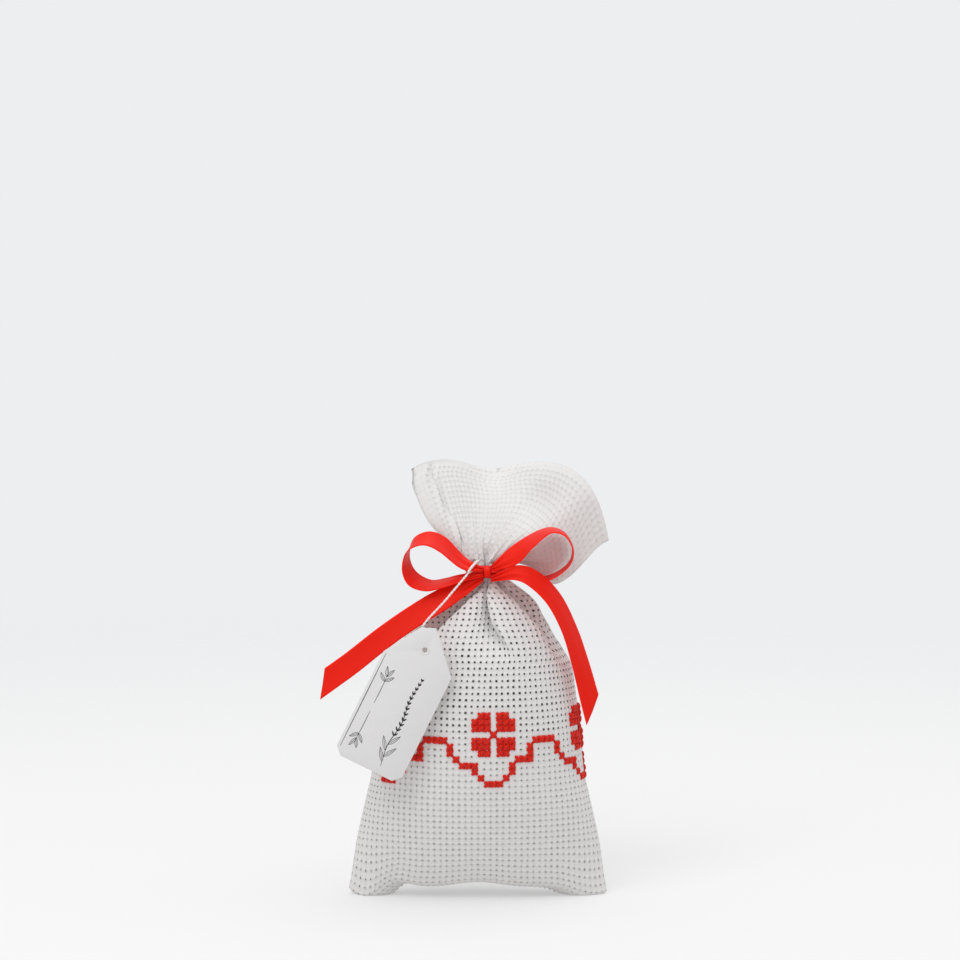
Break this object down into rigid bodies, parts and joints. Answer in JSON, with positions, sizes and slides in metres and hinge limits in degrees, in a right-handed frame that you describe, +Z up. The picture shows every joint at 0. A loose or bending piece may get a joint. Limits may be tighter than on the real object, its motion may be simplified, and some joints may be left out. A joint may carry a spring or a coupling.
{
  "type": "lavender sachet",
  "caption": "Standing cloth pouch with cross-stitched clovers and a wavy border, tied at the neck with a satin ribbon bow, with an inner bag of lavender and a paper tag on a string.",
  "frame": {"origin": "under the middle of the whole sachet's box, on the surface that it stands on", "axes": "+Z up from the bottom seam to the ruffle, -Y to the front with the bow and the tag, +X to the front's right"},
  "size_m": [0.084, 0.063, 0.1274],
  "materials": {
    "pouch_cloth": "white 14-count even-weave cotton",
    "inner_bag": "thin white cotton voile",
    "lavender": "dried lavender flowers, loose",
    "thread": "white sewing thread",
    "embroidery": "red stranded cotton, slightly glossy",
    "ribbon": "red satin",
    "string": "white cotton string",
    "tag_paper": "matt white card"
  },
  "bodies": {
    "pouch": {"pouch_cloth": "pouch_cloth", "inner_bag": "inner_bag", "lavender_filling": "lavender", "inner_bag_tie": "thread", "back_seam_thread_lower": "thread", "back_seam_thread_upper": "thread", "bottom_seam_thread": "thread", "clover_front": "embroidery", "clover_front_right": "embroidery", "clover_back_right": "embroidery", "clover_back_left": "embroidery", "clover_front_left": "embroidery", "wave_border": "embroidery", "neck_ribbon": "ribbon", "ribbon_knot": "ribbon", "bow_loop_left": "ribbon", "bow_loop_right": "ribbon"},
    "string_loop": {"tag_string_loop": "string"},
    "string": {"tag_string": "string", "tag_string_knot": "string"},
    "tag": {"tag_card": "tag_paper"},
    "left_tail": {"bow_tail_left": "ribbon"},
    "right_tail": {"bow_tail_right": "ribbon"}
  },
  "joints": [
    {"name": "string_swing", "type": "hinge", "parent": "pouch", "child": "string_loop", "pos_m": [0.0021, -0.01744, 0.09731], "axis": [0, 1, 0], "range_deg": [-18, 32]},
    {"name": "string_lift", "type": "hinge", "parent": "string_loop", "child": "string", "pos_m": [0.00144, -0.01938, 0.0949], "axis": [-1, 0, 0], "range_deg": [0, 60]},
    {"name": "tag_turn", "type": "hinge", "parent": "string", "child": "tag", "pos_m": [-0.01143, -0.03098, 0.0747], "axis": [0, 1, 0], "range_deg": [-50, 50]},
    {"name": "left_tail_lift", "type": "hinge", "parent": "pouch", "child": "left_tail", "pos_m": [0.00637, -0.01658, 0.0955], "axis": [-0.5593, 0, 0.829], "range_deg": [0, 7], "stiffness_Nm_per_rad": 0.001},
    {"name": "right_tail_lift", "type": "hinge", "parent": "pouch", "child": "right_tail", "pos_m": [0.00637, -0.01658, 0.0955], "axis": [-0.8102, 0, -0.5861], "range_deg": [0, 10], "stiffness_Nm_per_rad": 0.001}
  ]
}
